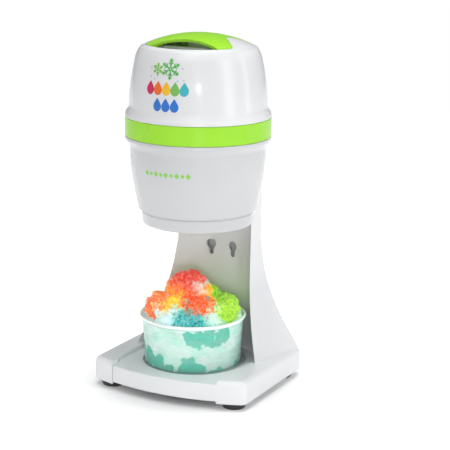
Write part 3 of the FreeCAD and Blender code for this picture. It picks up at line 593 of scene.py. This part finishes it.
# Syrup colours: place on the mound, radius, softness in millimetres, and colour
SYRUPS = [
    ((-20, -30, 14), 44, 6, (0.95, 0.42, 0.05)),
    ((30, -26, 14), 36, 6, (0.42, 0.78, 0.02)),
    ((0, 46, 4), 40, 8, (0.03, 0.60, 0.52)),
    ((-34, 38, 8), 22, 6, (0.68, 0.88, 0.88)),
    ((-12, 48, 3), 11, 5, (0.02, 0.50, 0.48)),
    ((24, 42, 8), 15, 6, (0.66, 0.88, 0.76)),
    ((4, 50, 3), 12, 5, (0.02, 0.48, 0.50)),
    ((38, 12, 22), 27, 6, (0.33, 0.70, 0.002)),
    ((46, 26, 8), 20, 6, (0.40, 0.72, 0.005)),
    ((22, 34, 20), 10, 7, (0.62, 0.86, 0.25)),
    ((-34, 30, 22), 13, 7, (0.98, 0.60, 0.01)),
    ((-48, 15, 12), 17, 5, (0.92, 0.20, 0.02)),
    ((-40, 6, 27), 11, 6, (0.96, 0.36, 0.08)),
    ((-20, 20, 33), 20, 7, (0.98, 0.30, 0.002)),
    ((-20, 34, 24), 10, 8, (1.0, 0.66, 0.01)),
    ((8, 36, 25), 18, 7, (0.92, 0.13, 0.002)),
    ((20, 18, 36), 12, 7, (0.98, 0.62, 0.02)),
    ((-4, 4, 54), 27, 8, (0.86, 0.075, 0.035)),
    ((2, 14, 60), 7, 6, (1.0, 0.62, 0.52)),
    ((-50, 24, 16), 7, 6, (1.0, 0.80, 0.40)),
    ((10, 24, 40), 8, 6, (0.96, 0.62, 0.50)),
]


def ice_material(name, base, frost, glow):
    """Wet shaved ice: syrup colours in soft zones, painted shade as deeper tones in noise-placed gaps
    between clumps, pale frost in flecks, and a faint glow of its own colour that is painted light.
    """
    s = Surface(name, base, 0.3, Specular_IOR_Level=0.2, Coat_Weight=0.06, Coat_Roughness=0.12)
    s.shader.inputs["Subsurface Weight"].default_value = glow
    s.shader.inputs["Subsurface Radius"].default_value = (1.0, 0.9, 0.8)
    s.shader.inputs["Subsurface Scale"].default_value = 0.0022
    edge = s.remap(s.noise(150.0, 3.0, 0.6), 0.25, 0.75, -0.0085, 0.0085)
    color = base
    for (side, front, height), radius, soft, tone in SYRUPS:
        mask = s.near(on_mound(side, front, height), radius * MM, soft * MM, edge)
        color = s.mix(mask, color, tone)
    depth = s.remap(s.noise(330.0, 4.0, 0.65), 0.40, 0.66, 0.0, 1.0, True)
    flecks = s.math("MULTIPLY", depth, frost)
    deep = s.node("ShaderNodeGamma")
    deep.inputs["Gamma"].default_value = 2.2
    s.link(color, deep.inputs["Color"])
    # Deeper syrup colour in noise-placed gaps between clumps: painted shade
    painted_gap_shade = s.remap(s.noise(260.0, 3.0, 0.6), 0.52, 0.38, 0.0, 0.85, True)
    color = s.mix(painted_gap_shade, color, deep.outputs["Color"])
    color = s.mix(flecks, color, (1.0, 0.88, 0.78))
    s.color_from(color)
    # The ice's colour also glows a little: painted light, brightening the ice that sits in the bowl's
    # shade
    s.link(color, s.shader.inputs["Emission Color"])
    s.shader.inputs["Emission Strength"].default_value = 0.24
    s.rough_from(s.noise(700.0, 3.0), 0.12, 0.45)
    s.bump(s.noise(900.0, 2.0, 0.6), 0.0002, 0.3)
    return s.material


def fill_material():
    """The ice pressed against the cup's wall: milky mint with teal syrup in crisp patches."""
    s = Surface("ice_behind_wall", (0.80, 0.93, 0.88), 0.4, Subsurface_Weight=0.25, Subsurface_Scale=0.002)
    ragged = s.remap(s.noise(95.0, 5.0, 0.6), 0.25, 0.75, -0.0065, 0.0065)
    cloud = s.remap(s.noise(60.0, 3.0), 0.35, 0.65, 0.0, 1.0, True)
    color = s.mix(cloud, (0.58, 0.92, 0.79), (0.80, 0.98, 0.91))
    patches = [
        ((-2, 60, -14), 8), ((8, 59, -16), 10), ((20, 55, -16), 11), ((31, 50, -16), 9),
        ((40, 43, -14), 7), ((-50, 28, -46), 13), ((-40, 42, -50), 11), ((-28, 52, -55), 8),
        ((-4, 58, -52), 11), ((-16, 57, -58), 6), ((8, 57, -54), 9), ((52, 22, -56), 6),
        ((-57, 10, -38), 7), ((34, 46, -60), 5), ((22, 52, -60), 5),
    ]
    shades = s.remap(s.noise(210.0, 4.0), 0.35, 0.65, 0.0, 1.0)
    teal = s.mix(shades, (0.01, 0.52, 0.38), (0.03, 0.64, 0.46))
    for (side, front, height), radius in patches:
        mask = s.near(on_mound(side, front, height), radius * MM, 0.7 * MM, ragged)
        color = s.mix(mask, color, teal)
    s.color_from(color)
    s.bump(s.noise(420.0, 4.0), 0.0003, 0.5)
    return s.material


def lathe(profile, turns=180):
    """A closed ring about the cup's axis from a loop of radius and height pairs."""
    verts = []
    faces = []
    count = len(profile)
    for i in range(turns):
        a = 2 * math.pi * i / turns
        for r, z in profile:
            verts.append((CUP_MIDDLE.x + r * math.cos(a), CUP_MIDDLE.y + r * math.sin(a), z))
    for i in range(turns):
        n = (i + 1) % turns
        for k in range(count):
            m = (k + 1) % count
            faces.append((i * count + k, n * count + k, n * count + m, i * count + m))
    return verts, faces


def cup_material():
    """Thin milky translucent plastic, thicker and whiter at the rolled rim and at the foot."""
    s = Surface("cup_plastic_milky", (0.80, 0.95, 0.90), 0.22, Specular_IOR_Level=0.5)
    split = s.node("ShaderNodeSeparateXYZ")
    s.link(s.place, split.inputs[0])
    height = split.outputs["Z"]
    rim = s.remap(height, RIM - 0.0055, RIM - 0.0042, 0.0, 1.0, True)
    foot = s.remap(height, CUP_FOOT + 0.0042, CUP_FOOT + 0.0025, 0.0, 0.55, True)
    streak = s.remap(s.noise(45.0, 4.0, 0.6, (1, 1, 3.0)), 0.4, 0.7, 0.08, 0.20)
    cover = s.math("MAXIMUM", s.math("MAXIMUM", rim, foot), streak)
    s.link(cover, s.shader.inputs["Alpha"])
    s.rough_from(s.noise(400.0, 3.0), 0.18, 0.30)
    s.color_from(s.mix(rim, (0.72, 0.92, 0.85), (0.90, 0.97, 0.94)))
    return s.material


def arc_points(cr, cz, radius, start, end, count):
    """Points on a circular arc in the radius and height plane, angles in degrees."""
    points = []
    for k in range(count + 1):
        a = math.radians(start + (end - start) * k / count)
        points.append((cr + radius * math.cos(a), cz + radius * math.sin(a)))
    return points


def add_cup():
    """Cup with a rolled rim and a floor that is a wide ring, and the ice in it and over it."""
    wall = 0.0011
    ring_r = 0.030
    low_r = CUP_R_TOP - 0.0049 - 0.0002
    top_r = CUP_R_TOP - 0.0019
    roll = 0.00155
    rim_r = CUP_R_TOP - roll - 0.0002
    rim_z = RIM - roll - 0.0002
    outer = [(ring_r, CUP_FOOT + 0.0013), (low_r - 0.0052, CUP_FOOT + 0.0013)]
    outer += [(low_r - 0.0050, CUP_FOOT + 0.0001)]
    outer += arc_points(low_r - 0.0022, CUP_FOOT + 0.0023, 0.0022, -90, -5, 6)
    outer += [(top_r - 0.0002, RIM - 0.0042), (rim_r - 0.0002, RIM - 0.0036)]
    outer += arc_points(rim_r, rim_z, roll, -60, 170, 12)
    inner = [(top_r - wall - 0.0006, RIM - 0.0042), (low_r - wall, CUP_FOOT + 0.0040)]
    inner += [(low_r - 0.0030, CUP_FOOT + 0.0026), (ring_r, CUP_FOOT + 0.0026)]
    verts, faces = lathe(outer + inner)
    cup = add_piece("cup_wall", verts, faces, cup_material(), "cup")
    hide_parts("cup")
    gap = 0.0003
    fill = [(0.001, CUP_FOOT + 0.0030), (low_r - wall - 0.0022, CUP_FOOT + 0.0030)]
    fill += [(low_r - wall - gap, CUP_FOOT + 0.0050), (top_r - wall - gap - 0.0006, RIM - 0.0046)]
    fill += [(top_r - wall - gap - 0.0010, RIM - 0.0036), (0.001, RIM - 0.0036)]
    verts, faces = lathe(fill)
    add_piece("ice_fill", verts, faces, fill_material(), "cup")
    verts, faces = make_mound()
    packed_ice = ice_material("ice_wet_syrup", (0.66, 0.88, 0.86), 0.22, 0.12)
    mound = add_piece("ice_mound", verts, faces, packed_ice, "cup")
    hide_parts("shaved_ice")
    verts, faces = make_crystals(verts[:-1], CHIP_COUNT, CHIP_SEED)
    chips = ice_material("ice_chips_syrup", (0.70, 0.90, 0.88), 0.26, 0.08)
    add_piece("ice_chips", verts, faces, chips, "cup", smooth=False)


add_cup()


# ---------------------------------------------------------------- stage, light and camera
# The floor's glow beyond a metre, and a dimmer glow close to the machine; under its middle there is none.
# The dimmer glow near it is painted shade, and the missing glow under it is a painted shadow
FAR_GLOW = 0.75
SHADED_NEAR_GLOW = 0.38


def add_stage():
    """Pale floor, its glow dimmed near the machine and cut out under it as painted shade and painted
    shadow, and a pale wall far behind it that only the camera sees.
    """
    floor = flat_sheet("floor", [(-4, -4, 0), (4, -4, 0), (4, 4, 0), (-4, 4, 0)])
    s = Surface("studio_paper", (0.78, 0.78, 0.78), 0.9)
    s.shader.inputs["Emission Color"].default_value = (1.0, 1.0, 1.0, 1.0)
    # Less glow near the machine: painted shade around it
    around = s.remap(s.near((0.0, 0.0, 0.0), 0.6, 0.4), 0.0, 1.0, FAR_GLOW, SHADED_NEAR_GLOW)
    # No glow under the machine's middle: painted shadow beneath it
    painted_shadow_beneath = s.remap(s.near((0.0, 0.0, 0.0), 0.11, 0.05), 0.0, 1.0, 0.0, SHADED_NEAR_GLOW)
    s.link(s.math("SUBTRACT", around, painted_shadow_beneath), s.shader.inputs["Emission Strength"])
    s.shader.inputs["Specular IOR Level"].default_value = 0.0
    s.color_from(s.mix(s.noise(3.0, 2.0), (0.775, 0.775, 0.775), (0.785, 0.785, 0.785)))
    dress(floor, s.material)
    wall = flat_sheet("wall", [(-6, 2.2, -0.5), (6, 2.2, -0.5), (6, 2.2, 6), (-6, 2.2, 6)])
    wall.rotation_euler = (0, 0, math.radians(CAMERA_AZIMUTH))
    glow = Surface("studio_wall", (0.0, 0.0, 0.0), 1.0)
    glow.shader.inputs["Emission Color"].default_value = (1.0, 1.0, 1.0, 1.0)
    glow.shader.inputs["Emission Strength"].default_value = 1.0
    glow.shader.inputs["Specular IOR Level"].default_value = 0.0
    dress(wall, glow.material)
    wall.visible_diffuse = False
    wall.visible_glossy = False
    wall.visible_transmission = False
    wall.visible_shadow = False


def flat_sheet(name, corners):
    """One four-cornered sheet."""
    mesh = bpy.data.meshes.new(name)
    mesh.from_pydata(corners, [], [(0, 1, 2, 3)])
    sheet = bpy.data.objects.new(name, mesh)
    bpy.context.scene.collection.objects.link(sheet)
    return sheet


def aim(lamp, place, target):
    """Puts a lamp in the scene, turned towards target."""
    bpy.context.scene.collection.objects.link(lamp)
    lamp.location = place
    lamp.rotation_euler = (Vector(target) - Vector(place)).to_track_quat("-Z", "Y").to_euler()


def add_area(name, place, target, size, power, color=(1, 1, 1), size_y=None):
    """A soft box, square unless size_y is given."""
    data = bpy.data.lights.new(name, "AREA")
    data.energy = power
    data.color = color
    data.size = size
    if size_y:
        data.shape = "RECTANGLE"
        data.size_y = size_y
    lamp = bpy.data.objects.new(name, data)
    aim(lamp, place, target)
    return lamp


CAMERA_PITCH = 13.426
CAMERA_ROLL = 0.672
CAMERA_DISTANCE = 1.72644
CAMERA_AIM_RIGHT = 0.03193
CAMERA_AIM_HEIGHT = 0.19054
FOCAL_IN_FRAMES = 3.2954
SENSOR = 36.0


def add_camera():
    """The camera looks at a point beside the head's axis, from the front and the right, slightly above."""
    a = math.radians(CAMERA_AZIMUTH)
    e = math.radians(CAMERA_PITCH)
    back = Vector((math.sin(a) * math.cos(e), -math.cos(a) * math.cos(e), math.sin(e)))
    right = Vector((math.cos(a), math.sin(a), 0.0))
    up = back.cross(right)
    roll = math.radians(CAMERA_ROLL)
    right_rolled = right * math.cos(roll) + up * math.sin(roll)
    up_rolled = up * math.cos(roll) - right * math.sin(roll)
    place = Vector((0, 0, CAMERA_AIM_HEIGHT)) + right * CAMERA_AIM_RIGHT + back * CAMERA_DISTANCE
    data = bpy.data.cameras.new("camera")
    data.sensor_width = SENSOR
    data.lens = SENSOR * FOCAL_IN_FRAMES
    camera = bpy.data.objects.new("camera", data)
    bpy.context.scene.collection.objects.link(camera)
    turn = Matrix((right_rolled, up_rolled, back)).transposed()
    camera.matrix_world = Matrix.Translation(place) @ turn.to_4x4()
    bpy.context.scene.camera = camera


def add_spot(name, place, target, degrees, power):
    """A narrow soft-edged beam."""
    data = bpy.data.lights.new(name, "SPOT")
    data.energy = power
    data.spot_size = math.radians(degrees)
    data.spot_blend = 1.0
    data.shadow_soft_size = 0.25
    lamp = bpy.data.objects.new(name, data)
    aim(lamp, place, target)


def add_lights():
    """Studio lights: a key from the right, a wide top, and weak fills."""
    world = bpy.data.worlds.new("studio")
    world.use_nodes = True
    world.node_tree.nodes["Background"].inputs["Color"].default_value = (0.93, 0.965, 1.0, 1.0)
    world.node_tree.nodes["Background"].inputs["Strength"].default_value = 0.18
    bpy.context.scene.world = world
    add_area("key_right", (1.7, -0.30, 0.80), (0.0, 0.0, 0.20), 0.6, 7.3, size_y=1.5)
    add_area("top", (0.1, 0.15, 1.9), (0.0, 0.0, 0.1), 1.2, 24.0)
    add_area("fill_front", (0.3, -2.2, 0.6), (0.0, 0.0, 0.15), 1.0, 1.0)
    add_area("top_front", (0.1, -1.0, 1.6), (0.0, 0.0, 0.1), 0.9, 4.8)
    add_area("fill_left", (-1.0, -1.1, 1.0), (-0.08, -0.05, 0.0), 0.8, 1.6)
    cool = (0.90, 0.94, 1.0)
    near_fill = add_area("column_fill", (0.30, -0.52, 0.17), (0.03, 0.03, 0.10), 0.12, 0.10, cool)
    near_fill.visible_camera = False
    add_area("strip_right", (1.35, 0.63, 0.65), (0.0, 0.0, 0.32), 0.2, 1.8, size_y=1.2)
    add_spot("low_front", (0.80, -1.47, 0.36), (0.02, 0.0, 0.09), 9.5, 125.0)
    add_spot("low_left", (-0.9, -1.2, 0.7), (-0.10, -0.04, 0.0), 8.0, 115.0)


add_camera()
add_lights()
add_stage()
scene = bpy.context.scene
scene.view_settings.view_transform = "Standard"
scene.cycles.caustics_reflective = False
scene.cycles.caustics_refractive = False
scene.cycles.sample_clamp_indirect = 3.0
